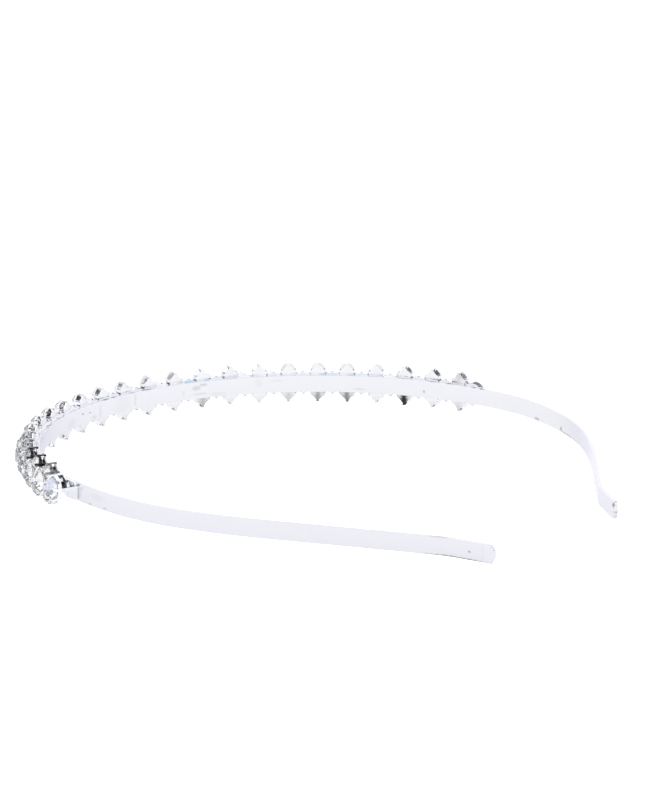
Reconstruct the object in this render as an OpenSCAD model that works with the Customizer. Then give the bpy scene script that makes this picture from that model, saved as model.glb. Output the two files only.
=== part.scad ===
// Crystal headband lying on its side: a flat metal strip bent to the head, with a soldered trim of
// claw settings and cut crystals round the crown. Z is up, the crown points along +Y and the mouth
// between the two tips opens along -Y. Distances along the strip are counted from the middle of the
// bend, plus to the right arm and minus to the left one.

/* [Strip] */
// Width of the strip from edge to edge
strip_w = 4; // [3.5:0.1:4.4]
// Thickness of the strip
strip_t = 0.8; // [0.6:0.1:1]

/* [Bend] */
// Inner radius round the crown
crown_r = 61; // [59:1:64]
// Length of the crown arc on each side of the middle
crown_len = 106; // [104:1:110]
// Inner radius of the shoulder, where the arms turn in
shoulder_r = 53; // [48:1:60]
// Length of the shoulder arc
shoulder_len = 18; // [12:1:22]
// Inner radius of the slack arc below the shoulder
arm_r = 120; // [90:5:150]
// Length of the slack arc
arm_len = 18; // [12:1:22]
// Length of the straight stretch of the left arm
left_straight = 36; // [28:0.5:40]
// Length of the straight stretch of the right arm
right_straight = 22.5; // [18:0.5:40]
// Angle by which the tips flare outwards
flare_angle = 14; // [8:1:20]
// Radius of the flare
flare_r = 20; // [12:1:30]
// Length of the tip beyond the flare
tip_len = 8.2; // [6:0.1:12]
// Height of the strip's lower edge above the surface at the tips
tip_lift = 0.45; // [0:0.05:1.5]

/* [Folded tips] */
// Length of the end that is folded back onto the outer face
fold_len = 2.1; // [1.5:0.1:3]
// Height by which the fold stands out from the outer face
fold_rise = 0.35; // [0.2:0.05:0.6]
// Bulge of the left arm's rounded end past the square corners of the strip
left_fold_bulge = 0.8; // [0.3:0.1:1.2]
// Bulge of the right arm's rounded end
right_fold_bulge = 0.3; // [0.3:0.1:1.2]

/* [Trim] */
// Number of crystals in the centre row, with a pair of side crystals between each two
centre_count = 25; // [9:1:25]
// Distance between neighbouring centre crystals along the inner face
pitch = 6.9; // [6.8:0.05:7]
// Slow drift of the hand-set spacing, to each side
spacing_drift = 0.6; // [0:0.1:0.8]
// Distance of the middle of the trim from the middle of the bend
trim_shift = -5; // [-6:0.5:0]
// Thickness of the backing strip under the settings
backing_t = 0.5; // [0.4:0.1:0.6]
// Gap for the glue between the strip and the trim
glue_gap = 0.05; // [0.05:0.01:0.1]
// Length of the bare tab past the last centre crystal
tab_len = 5.8; // [5:0.1:8]
// Corner radius of the tabs
tab_corner_r = 1.4; // [0.5:0.1:1.8]

/* [Centre crystals] */
// Radius at the girdle
centre_r = 2.55; // [2.3:0.05:2.6]
// Depth of the pavilion
centre_pavilion = 2.2; // [1.6:0.1:2.3]
// Height of the crown above the girdle
centre_crown = 1.4; // [0.9:0.05:1.5]

/* [Side crystals] */
// Radius at the girdle
side_r = 1.55; // [1.4:0.05:1.6]
// Depth of the pavilion
side_pavilion = 1.5; // [1:0.05:1.6]
// Height of the crown above the girdle
side_crown = 0.9; // [0.6:0.05:1]
// Distance of the side rows from the middle of the strip
side_offset = 2.7; // [2.65:0.05:2.8]

/* [Settings] */
// Thickness of the base plates
base_t = 0.3; // [0.25:0.05:0.4]
// Width of a claw
claw_w = 0.7; // [0.5:0.05:0.9]
// Thickness of a claw
claw_t = 0.3; // [0.25:0.05:0.35]
// Length of the claw tip that lies over the crown of the crystal
claw_grip = 0.7; // [0.5:0.05:0.8]
// Gap between a crystal and its setting
stone_gap = 0.06; // [0.05:0.01:0.08]

/* [Hidden] */
// Middle of the finished outline in plan, measured from the middle of the bend
outline_mid = [-1.1144, -69.5116];
// Largest turn of the wall between two stations, in degrees
facet_turn = 2;
// Height of the girdle band and width of the table as a share of the girdle
girdle_h = 0.15;
table_share = 0.56;
// Number of facets round the table
table_sides = 8;
// Depth by which the base plates sink into the backing strip
sink = 0.15;
// Height of a gallery ring as a share of the pavilion, and its distance below the girdle
ring_share = 0.4;
ring_below = 0.1;
// Thickness of a claw's end as a share of the claw's
claw_end_share = 0.8;
// Narrowest radius of a side setting's star plate as a share of its points'
star_waist = 0.62;
// Degrees of the wave of the hand-set spacing from one centre crystal to the next
drift_turn = 20;
// Width of the fold is this much less than the strip's on each side, and it starts this deep in it
fold_inset = 0.1;
fold_depth = 0.15;
// Room by which cutting shapes run past what they cut
past = 5;

backing_in = strip_t + glue_gap;
backing_out = backing_in + backing_t;
side_reach = side_r + stone_gap + claw_t;
centre_reach = centre_r + stone_gap + claw_t;
trim_z = side_offset + side_reach;
pair_count = centre_count - 1;
silver = [0.87, 0.87, 0.89];
clear = [0.84, 0.88, 0.93, 0.7];

function crystal_name(k) = str("centre_crystal_", k < 9 ? "0" : "", k + 1);

// One row for each stretch from the middle of the bend to a tip: its radius and its length. A
// radius of 0 is straight, and a minus radius bends outwards.
function arm_path(straight) = [
    [crown_r, crown_len],
    [shoulder_r, shoulder_len],
    [arm_r, arm_len],
    [0, straight],
    [-flare_r, flare_r * flare_angle * PI / 180],
    [0, tip_len]
];

// Degrees turned in a run along a stretch
function turned(row, run) = row[0] == 0 ? 0 : run / row[0] * 180 / PI;

// The place [x, y, heading] after a run along a stretch, with the heading counted clockwise from +X
function along(p, row, run) =
    let (h = p[2] + turned(row, run))
    row[0] == 0
    ? [p[0] + run * cos(h), p[1] - run * sin(h), h]
    : [p[0] + row[0] * (sin(h) - sin(p[2])), p[1] + row[0] * (cos(h) - cos(p[2])), h];

function walk(path, run, i = 0, p = [0, 0, 0]) =
    i == len(path) - 1 || run <= path[i][1]
    ? along(p, path[i], run)
    : walk(path, run - path[i][1], i + 1, along(p, path[i], path[i][1]));

// The inner face of the strip at a distance along it
function face_at(s) =
    s < 0
    ? let (p = walk(arm_path(left_straight), -s)) [-p[0], p[1], -p[2]]
    : walk(arm_path(right_straight), s);

// A point in plan that stands out from the inner face
function plan_point(s, out) =
    let (p = face_at(s))
    [p[0] + out * sin(p[2]), p[1] + out * cos(p[2])] - outline_mid;

function path_len(path, rows) = rows == 0 ? 0 : path[rows - 1][1] + path_len(path, rows - 1);

// Distances at which a wall has a corner, from the middle to a tip
function stations(path) = [
    for (i = [0 : len(path) - 1])
        let (steps = max(1, ceil(abs(turned(path[i], path[i][1])) / facet_turn)))
        for (k = [0 : steps - 1])
            path_len(path, i) + path[i][1] * k / steps
];

function reversed(list) = [for (i = [len(list) - 1 : -1 : 0]) list[i]];

left_end = -path_len(arm_path(left_straight), 6);
right_end = path_len(arm_path(right_straight), 6);
strip_stations = concat(
    [left_end],
    [for (s = reversed(stations(arm_path(left_straight)))) -s],
    [for (s = stations(arm_path(right_straight))) if (s > 0) s],
    [right_end]
);

// The hand-set rows: place along the strip of centre crystal k, or of pair k at k + 0.5
function row_at(k) =
    trim_shift + (k - pair_count / 2) * pitch
    - spacing_drift * cos(drift_turn * (pair_count - k - 0.5));

trim_from = row_at(0) - tab_len;
trim_to = row_at(pair_count) + tab_len;
trim_steps = ceil((trim_to - trim_from) / crown_r * 180 / PI / facet_turn);
trim_stations = [for (k = [0 : trim_steps]) trim_from + (trim_to - trim_from) * k / trim_steps];

// The strip is level under the trim, and the arms slope down towards the surface that it lies on
slope_from_y = plan_point(trim_from, 0)[1];
fall = trim_z - strip_w / 2 - tip_lift;
function slope_to(end) = fall / (slope_from_y - plan_point(end, 0)[1]);
function strip_z(y, end) = trim_z - slope_to(end) * max(0, slope_from_y - y);

// Puts its children on the strip: local Z points outwards, local Y up and local X to the left arm
module on_face(s, out, z) {
    p = plan_point(s, out);
    translate([p[0], p[1], z])
        rotate([90, 0, 180 - face_at(s)[2]])
            children();
}

// A tall wall that follows the strip between two distances from its inner face
module wall(list, from, to, height) {
    linear_extrude(height)
        polygon(concat(
            [for (s = list) plan_point(s, from)],
            [for (s = reversed(list)) plan_point(s, to)]
        ));
}

// The side view of the strip on the side of one tip, from the middle outwards
module side_view(end) {
    front = plan_point(end, 0)[1] - past;
    back = crown_r + past - outline_mid[1];
    half = strip_w / 2;
    translate([end < 0 ? -2 * crown_r : 0, 0, 0])
        rotate([90, 0, 90])
            linear_extrude(2 * crown_r)
                polygon([
                    [front, strip_z(front, end) - half],
                    [slope_from_y, trim_z - half],
                    [back, trim_z - half],
                    [back, trim_z + half],
                    [slope_from_y, trim_z + half],
                    [front, strip_z(front, end) + half]
                ]);
}

// The end of the strip, folded back onto the outer face, with a rounded outline
module tip_fold(s, bulge) {
    way = s < 0 ? 1 : -1;
    half = strip_w / 2 - fold_inset;
    bulge_r = (half * half + bulge * bulge) / (2 * bulge);
    lean = atan(slope_to(s) * sin(abs(face_at(s)[2])));
    on_face(s, fold_depth, strip_z(plan_point(s, 0)[1], s))
        rotate([0, 0, -way * lean])
            linear_extrude(strip_t - fold_depth + fold_rise)
                intersection() {
                    translate([way < 0 ? -bulge : -fold_len, -half])
                        square([fold_len + bulge, 2 * half]);
                    translate([way * (bulge - bulge_r), 0])
                        circle(bulge_r, $fn = 180);
                }
}

module band() {
    color(silver) {
        intersection() {
            wall(strip_stations, 0, strip_t, trim_z + strip_w);
            union() {
                side_view(left_end);
                side_view(right_end);
            }
        }
        tip_fold(left_end, left_fold_bulge);
        tip_fold(right_end, right_fold_bulge);
    }
}

// What rounds the two corners of a tab, which ends at a distance along the strip
module tab_corners(s, way) {
    inner = strip_w / 2 - tab_corner_r;
    on_face(s, backing_in - past / 2, trim_z)
        linear_extrude(past)
            for (side = [-1, 1])
                translate([-way * tab_corner_r, side * inner])
                    scale([way, side])
                        difference() {
                            square(tab_corner_r + past);
                            circle(tab_corner_r, $fn = 64);
                        }
}

module backing_strip() {
    difference() {
        translate([0, 0, trim_z - strip_w / 2])
            wall(trim_stations, backing_in, backing_out, strip_w);
        tab_corners(trim_from, 1);
        tab_corners(trim_to, -1);
    }
}

// Two opposite claws and the bar that joins them under the crystal, for a crystal whose girdle is at
// this radius and height
module claw_pair(r, girdle_z, crown) {
    facet = [r * (table_share - 1), crown];
    up_crown = facet / norm(facet);
    inner_bend = [r + stone_gap, girdle_z + stone_gap / 2];
    inner_tip = inner_bend + claw_grip * up_crown;
    outer_bend = inner_bend + [claw_t, claw_t / 2];
    outer_tip = inner_tip + claw_end_share * claw_t * [up_crown[1], -up_crown[0]];
    side = [
        [inner_bend[0], base_t],
        inner_bend,
        inner_tip,
        outer_tip,
        outer_bend,
        [outer_bend[0], -sink]
    ];
    rotate([90, 0, 0])
        linear_extrude(claw_w, center = true)
            polygon(concat(side, [for (p = reversed(side)) [-p[0], p[1]]]));
}

// The ring that joins the four claws under the girdle
module gallery_ring(r, pavilion) {
    height = ring_share * pavilion;
    translate([0, 0, base_t + stone_gap + pavilion - ring_below - height])
        difference() {
            cylinder(h = height, r = r + stone_gap + claw_t / 2, $fn = 48);
            translate([0, 0, -height])
                cylinder(h = 3 * height, r = r, $fn = 48);
        }
}

// A claw setting with a base plate in the plan of its children
module claw_setting(r, pavilion, crown) {
    girdle_z = base_t + stone_gap + pavilion + girdle_h;
    translate([0, 0, -sink])
        linear_extrude(base_t + sink)
            children();
    claw_pair(r, girdle_z, crown);
    rotate([0, 0, 90])
        claw_pair(r, girdle_z, crown);
    gallery_ring(r, pavilion);
}

// The base plate of a side setting is a four-pointed star, drawn out into the claws
module side_setting() {
    claw_setting(side_r, side_pavilion, side_crown)
        polygon([
            for (k = [0 : 7])
                side_reach * (k % 2 == 0 ? 1 : star_waist) * [cos(45 * k), sin(45 * k)]
        ]);
}

module centre_setting() {
    claw_setting(centre_r, centre_pavilion, centre_crown)
        circle(centre_r, $fn = 48);
}

module setting_trim() {
    color(silver) {
        backing_strip();
        for (k = [0 : pair_count])
            on_face(row_at(k), backing_out, trim_z)
                centre_setting();
        for (k = [0 : pair_count - 1])
            for (side = [-1, 1])
                on_face(row_at(k + 0.5), backing_out, trim_z + side * side_offset)
                    side_setting();
    }
}

// A round brilliant with its culet at the origin and its table upwards
module cut_crystal(r, pavilion, crown) {
    n = table_sides;
    function ring(radius, z, count) = [
        for (i = [0 : count - 1])
            [radius * cos(360 * i / count), radius * sin(360 * i / count), z]
    ];
    upper = n;
    lower = 3 * n;
    culet = 5 * n;
    polyhedron(
        points = concat(
            ring(r * table_share, pavilion + girdle_h + crown, n),
            ring(r, pavilion + girdle_h, 2 * n),
            ring(r, pavilion, 2 * n),
            [[0, 0, 0]]
        ),
        faces = concat(
            [[for (i = [n - 1 : -1 : 0]) i]],
            [for (i = [0 : n - 1]) [i, upper + 2 * i + 1, upper + 2 * i]],
            [for (i = [0 : n - 1]) [i, upper + 2 * i, upper + (2 * i + 2 * n - 1) % (2 * n)]],
            [for (i = [0 : n - 1]) [i, (i + 1) % n, upper + 2 * i + 1]],
            [for (i = [0 : 2 * n - 1])
                [upper + i, upper + (i + 1) % (2 * n), lower + (i + 1) % (2 * n), lower + i]],
            [for (i = [0 : 2 * n - 1]) [lower + i, lower + (i + 1) % (2 * n), culet]]
        )
    );
}

module centre_crystal(k) {
    color(clear)
        on_face(row_at(k), backing_out + base_t + stone_gap, trim_z)
            cut_crystal(centre_r, centre_pavilion, centre_crown);
}

module side_crystals(side) {
    color(clear)
        for (k = [0 : pair_count - 1])
            on_face(row_at(k + 0.5), backing_out + base_t + stone_gap, trim_z + side * side_offset)
                cut_crystal(side_r, side_pavilion, side_crown);
}

band();
setting_trim();
side_crystals(1);  // upper_side_crystals
side_crystals(-1);  // lower_side_crystals
for (k = [0 : centre_count - 1])
    centre_crystal(k);
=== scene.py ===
"""Looks of a crystal headband that lies on its side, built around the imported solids.

Sizes are in metres and angles in degrees, unless a docstring says otherwise. Places on the
headband are given as in the solids: a distance along the inner face of the strip, counted from the
middle of the bend, plus to the right arm and minus to the left one; a distance outwards from that
face; and a height above the middle of the strip.
"""

import logging
import math
import random
from collections.abc import Callable, Iterable, Sequence
from dataclasses import dataclass, field, replace
from enum import Enum

import bmesh
import bpy
from mathutils import Matrix, Vector
from mathutils.kdtree import KDTree

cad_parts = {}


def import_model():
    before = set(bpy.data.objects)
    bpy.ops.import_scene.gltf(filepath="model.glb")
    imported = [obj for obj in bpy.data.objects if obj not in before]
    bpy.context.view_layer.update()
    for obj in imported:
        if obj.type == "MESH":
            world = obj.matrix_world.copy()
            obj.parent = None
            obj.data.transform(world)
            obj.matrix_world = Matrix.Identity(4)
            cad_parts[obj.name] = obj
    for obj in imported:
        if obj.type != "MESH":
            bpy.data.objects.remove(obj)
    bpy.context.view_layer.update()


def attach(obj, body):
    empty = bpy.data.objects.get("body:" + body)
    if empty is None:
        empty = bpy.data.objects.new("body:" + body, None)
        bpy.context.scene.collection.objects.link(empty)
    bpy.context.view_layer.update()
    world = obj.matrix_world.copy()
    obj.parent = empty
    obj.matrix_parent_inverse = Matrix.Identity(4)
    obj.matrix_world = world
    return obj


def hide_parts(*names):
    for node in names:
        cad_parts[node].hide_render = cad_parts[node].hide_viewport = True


Colour = tuple[float, float, float]
Piece = bpy.types.Object
Socket = bpy.types.NodeSocket

MM = 0.001
# Places that are closer than this count as one.
NEAR = 0.01 * MM
# A face is square to an axis where its normal has at least this much along it.
SQUARE = 0.9
# What the start and the end of a range become.
RISING = (0.0, 1.0)
FALLING = (1.0, 0.0)
# Turn that keeps the patterns off the axes, in radians.
OFF_AXES = (0.3, 0.2, 0.5)
# Middle of the colours of a noise pattern.
NOISE_MIDDLE = (0.5, 0.5, 0.5)
# Numbers of the colour sockets on a Mix node.
MIX_A, MIX_B, MIX_RESULT = 6, 7, 2
LOG = logging.getLogger("headband")


class Row(Enum):
    """The two rows of small crystals, by the side of the centre row that they are on."""

    UPPER = 1
    LOWER = -1


class Arm(Enum):
    """The two arms, by the sign of a distance along the strip."""

    LEFT = -1
    RIGHT = 1


class Back(Enum):
    """How the gap between a base plate and its gallery ring is closed."""

    OPEN = "open"
    LOWER_HALF = "lower half"
    CLOSED = "closed"


class Slot(Enum):
    """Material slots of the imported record."""

    BAND = "silver_band"
    SETTINGS = "silver_settings"
    CRYSTAL = "clear_crystal"


# The bent line and the places along it


@dataclass(frozen=True)
class Stretch:
    """One stretch of an arm: an arc, or a straight where the radius is 0.

    A minus radius bends outwards.
    """

    radius: float
    length: float

    @property
    def turn(self) -> float:
        """Angle turned over the whole stretch, in radians."""
        return self.length / self.radius if self.radius else 0.0


@dataclass(frozen=True)
class Place:
    """A point of the inner face in plan, with the heading clockwise from +X in radians."""

    x: float
    y: float
    heading: float

    def onward(self, stretch: Stretch, run: float) -> "Place":
        """Follows a stretch from here.

        Args:
            stretch: the stretch to follow.
            run: how far to go along it.

        Returns:
            The place that is reached.
        """
        if not stretch.radius:
            return Place(
                self.x + run * math.cos(self.heading),
                self.y - run * math.sin(self.heading),
                self.heading,
            )
        heading = self.heading + run / stretch.radius
        return Place(
            self.x + stretch.radius * (math.sin(heading) - math.sin(self.heading)),
            self.y + stretch.radius * (math.cos(heading) - math.cos(self.heading)),
            heading,
        )


@dataclass(frozen=True)
class HeadCurve:
    """The bent line that the inner face of the strip follows.

    The origin of the frame is `middle`, in plan, counted from the middle of the bend. The strip's
    own middle is at the height `level_z` along the crown. On both arms it falls past the Y of the
    place at `level_from`, and it reaches `tip_z` at both tips.
    """

    crown: Stretch = Stretch(61 * MM, 106 * MM)
    shoulder: Stretch = Stretch(53 * MM, 18 * MM)
    slack: Stretch = Stretch(120 * MM, 18 * MM)
    left_straight: float = 36 * MM
    right_straight: float = 22.5 * MM
    flare: Stretch = Stretch(-20 * MM, 20 * MM * math.radians(14))
    tip: float = 8.2 * MM
    middle: tuple[float, float] = (-1.1144 * MM, -69.5116 * MM)
    level_z: float = 4.61 * MM
    tip_z: float = 2.45 * MM
    level_from: float = -93.395 * MM

    def stretches(self, arm: Arm) -> list[Stretch]:
        """Lists the stretches from the middle of the bend to one tip.

        Args:
            arm: the arm.

        Returns:
            Its stretches, in order.
        """
        straight = self.left_straight if arm is Arm.LEFT else self.right_straight
        return [
            self.crown,
            self.shoulder,
            self.slack,
            Stretch(0.0, straight),
            self.flare,
            Stretch(0.0, self.tip),
        ]

    def end(self, arm: Arm) -> float:
        """Distance of a tip's square corners along the strip."""
        return arm.value * sum(stretch.length for stretch in self.stretches(arm))

    def place(self, along: float) -> Place:
        """Finds a point of the inner face.

        Args:
            along: distance along the strip.

        Returns:
            The place in the frame of the solids.
        """
        arm = Arm.LEFT if along < 0 else Arm.RIGHT
        run, here = abs(along), Place(0.0, 0.0, 0.0)
        stretches = self.stretches(arm)
        for stretch in stretches[:-1]:
            here = here.onward(stretch, min(run, stretch.length))
            run -= min(run, stretch.length)
            if run <= 0:
                break
        else:
            here = here.onward(stretches[-1], run)
        side = arm.value
        return Place(
            side * here.x - self.middle[0], here.y - self.middle[1], side * here.heading
        )

    def slope(self, arm: Arm) -> float:
        """Fall of an arm for each metre towards its tip."""
        run = self.place(self.level_from).y - self.place(self.end(arm)).y
        return (self.level_z - self.tip_z) / run

    def height(self, x: float, y: float) -> float:
        """Height of the middle of the strip, level at the crown and falling along the arms."""
        arm = Arm.LEFT if x < 0 else Arm.RIGHT
        return self.level_z - self.slope(arm) * max(0.0, self.place(self.level_from).y - y)

    def seat(self, along: float, out: float, above: float) -> Matrix:
        """Frame of something that sits on the strip.

        Args:
            along: distance along the strip.
            out: distance outwards from its inner face.
            above: height above the middle of the strip.

        Returns:
            A matrix whose X points to the left arm, Y up and Z outwards.
        """
        place = self.place(along)
        sine, cosine = math.sin(place.heading), math.cos(place.heading)
        centre = Vector((place.x + out * sine, place.y + out * cosine, 0.0))
        centre.z = self.height(centre.x, centre.y) + above
        axes = Matrix(((-cosine, 0, sine), (sine, 0, cosine), (0, 1, 0))).to_4x4()
        return Matrix.Translation(centre) @ axes


class Ruler:
    """Finds where a point is along and through the strip."""

    def __init__(self, curve: HeadCurve, step: float, spare: float) -> None:
        """Sets out places along the inner face, for the nearest one to be looked up.

        Args:
            curve: the bent line.
            step: distance between the places.
            spare: how far they go on past each tip.
        """
        first, last = curve.end(Arm.LEFT), curve.end(Arm.RIGHT)
        count = int((last - first + 2 * spare) / step)
        self.alongs = [first - spare + k * step for k in range(count)]
        self.places = [curve.place(along) for along in self.alongs]
        self.tree = KDTree(count)
        for k, place in enumerate(self.places):
            self.tree.insert((place.x, place.y, 0.0), k)
        self.tree.balance()

    def read(self, point: Vector) -> tuple[float, float]:
        """Measures a point.

        Args:
            point: the point.

        Returns:
            Its distances along the strip and outwards from the inner face.
        """
        _, k, _ = self.tree.find((point.x, point.y, 0.0))
        place = self.places[k]
        away = Vector((point.x - place.x, point.y - place.y))
        sine, cosine = math.sin(place.heading), math.cos(place.heading)
        along = self.alongs[k] + away.x * cosine - away.y * sine
        return along, away.x * sine + away.y * cosine


# Modelling


def middle_and_way(edge: bmesh.types.BMEdge) -> tuple[Vector, Vector]:
    """Gives the middle of an edge and its direction."""
    start, end = (v.co for v in edge.verts)
    return (start + end) / 2, (end - start).normalized()


class Bench:
    """One piece in the making, on which the modelling operators act alone."""

    def __init__(self, name: str, add: Callable[..., object], **sizes: object) -> None:
        """Adds a primitive as the start of the piece.

        Args:
            name: name of the piece.
            add: operator that adds the primitive.
            sizes: what the operator is given.
        """
        if bpy.context.object and bpy.context.object.mode != "OBJECT":
            bpy.ops.object.mode_set(mode="OBJECT")
        bpy.ops.object.select_all(action="DESELECT")
        add(**sizes)
        self.piece: Piece = bpy.context.object
        self.piece.name = self.piece.data.name = name
        bpy.ops.object.transform_apply(location=True, rotation=True, scale=True)

    def edit(self, domain: str = "FACE") -> None:
        """Enters edit mode with everything selected in a domain: VERT, EDGE or FACE."""
        bpy.ops.object.mode_set(mode="EDIT")
        self.pick_all(domain)

    def done(self) -> Piece:
        """Leaves edit mode and gives the piece."""
        bpy.ops.object.mode_set(mode="OBJECT")
        return self.piece

    def pick_all(self, domain: str) -> None:
        """Selects everything in a domain: VERT, EDGE or FACE."""
        bpy.ops.mesh.select_mode(type=domain)
        bpy.ops.mesh.select_all(action="SELECT")

    def pick(self, domain: str, test: Callable[[Vector, Vector], bool]) -> None:
        """Selects what passes a test, and nothing else.

        Args:
            domain: VERT, EDGE or FACE.
            test: is given the middle of an element, and its normal, or direction for an edge.
        """
        bpy.ops.mesh.select_mode(type=domain)
        bpy.ops.mesh.select_all(action="DESELECT")
        mesh = bmesh.from_edit_mesh(self.piece.data)
        mesh.normal_update()
        if domain == "FACE":
            found = [f for f in mesh.faces if test(f.calc_center_median(), f.normal)]
        elif domain == "EDGE":
            found = [e for e in mesh.edges if test(*middle_and_way(e))]
        else:
            found = [v for v in mesh.verts if test(v.co, v.normal)]
        for element in found:
            element.select_set(True)
        mesh.select_flush_mode()
        bmesh.update_edit_mesh(self.piece.data)

    def resize(self, x: float, y: float, z: float, centre: Sequence[float] = (0, 0, 0)) -> None:
        """Scales the selection about a point."""
        bpy.ops.transform.resize(value=(x, y, z), center_override=tuple(centre))

    def shift(self, x: float, y: float, z: float) -> None:
        """Moves the selection."""
        bpy.ops.transform.translate(value=(x, y, z))

    def extrude(self, x: float, y: float, z: float) -> None:
        """Extrudes the selected faces and moves them."""
        bpy.ops.mesh.extrude_region_move(TRANSFORM_OT_translate={"value": (x, y, z)})

    def face_outwards(self) -> None:
        """Turns every face of the closed shape outwards."""
        bpy.ops.mesh.select_all(action="SELECT")
        bpy.ops.mesh.normals_make_consistent(inside=False)

    def finish(self, kind: str, **settings: object) -> None:
        """Adds a modifier and applies it.

        Args:
            kind: the modifier's type.
            settings: its properties.
        """
        modifier = self.piece.modifiers.new(kind.title(), kind)
        for name, value in settings.items():
            setattr(modifier, name, value)
        bpy.context.view_layer.objects.active = self.piece
        bpy.ops.object.modifier_apply(modifier=modifier.name)

    def soften(self, width: float, angle: float, steps: int = 2) -> None:
        """Rounds the sharp edges, and shades the rest smooth.

        Args:
            width: width of the rounding.
            angle: edges that turn by more than this are sharp.
            steps: faces across the rounding.
        """
        limit = math.radians(angle)
        self.finish("BEVEL", width=width, segments=steps, limit_method="ANGLE", angle_limit=limit)
        self.smooth(angle)

    def smooth(self, angle: float) -> None:
        """Shades the piece smooth, with its flat faces kept flat.

        Args:
            angle: edges that turn by more than this stay sharp.
        """
        select_only([self.piece])
        bpy.ops.object.shade_smooth_by_angle(angle=math.radians(angle))
        self.finish("WEIGHTED_NORMAL", keep_sharp=True)


def select_only(pieces: Sequence[Piece]) -> None:
    """Selects these pieces alone.

    Args:
        pieces: the pieces, the first of which becomes the active one.
    """
    bpy.ops.object.select_all(action="DESELECT")
    for piece in pieces:
        piece.select_set(True)
    bpy.context.view_layer.objects.active = pieces[0]


def joined(name: str, pieces: Sequence[Piece]) -> Piece:
    """Joins pieces into one.

    Args:
        name: name of the joined piece.
        pieces: the pieces, which are used up.

    Returns:
        The joined piece.
    """
    select_only(pieces)
    if len(pieces) > 1:
        bpy.ops.object.join()
    whole = bpy.context.view_layer.objects.active
    whole.name = whole.data.name = name
    return whole


def dress(piece: Piece, *finishes: bpy.types.Material) -> None:
    """Gives a piece its materials in place of any others.

    Args:
        piece: the piece.
        finishes: the materials, in the order of its faces' numbers.
    """
    piece.data.materials.clear()
    for finish in finishes:
        piece.data.materials.append(finish)


def mark_points(piece: Piece, name: str, value: Callable[[Vector], float]) -> None:
    """Stores a number at each point of a piece, for its material to read.

    Args:
        piece: the piece.
        name: name of the attribute.
        value: is given the point, and gives the number.
    """
    layer = piece.data.attributes.get(name)
    if layer is None:
        layer = piece.data.attributes.new(name, "FLOAT", "POINT")
    layer.data.foreach_set("value", [value(v.co) for v in piece.data.vertices])


def mark_evenly(piece: Piece, **numbers: float) -> None:
    """Stores the same numbers at every point of a piece.

    Args:
        piece: the piece.
        numbers: name of each attribute and its number.
    """
    for name, number in numbers.items():
        mark_points(piece, name, lambda _, same=number: same)


def repeated(
    template: Piece, name: str, seats: Iterable[Matrix], tones: Iterable[float]
) -> list[Piece]:
    """Copies a piece to a number of seats, each copy with its own mesh and tone.

    Args:
        template: the piece that is copied.
        name: start of the copies' names.
        seats: where each copy goes.
        tones: a number from 0 to 1 for each copy.

    Returns:
        The copies.
    """
    copies = []
    for k, (seat, tone) in enumerate(zip(seats, tones), start=1):
        copy = template.copy()
        copy.data = template.data.copy()
        copy.name = copy.data.name = f"{name}_{k:02d}"
        bpy.context.scene.collection.objects.link(copy)
        mark_evenly(copy, tone=tone)
        copy.data.transform(seat)
        copies.append(copy)
    return copies


def discard(piece: Piece) -> None:
    """Removes a template once its copies are made.

    Args:
        piece: the template.
    """
    mesh = piece.data
    bpy.data.objects.remove(piece)
    bpy.data.meshes.remove(mesh)


# Materials


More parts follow.
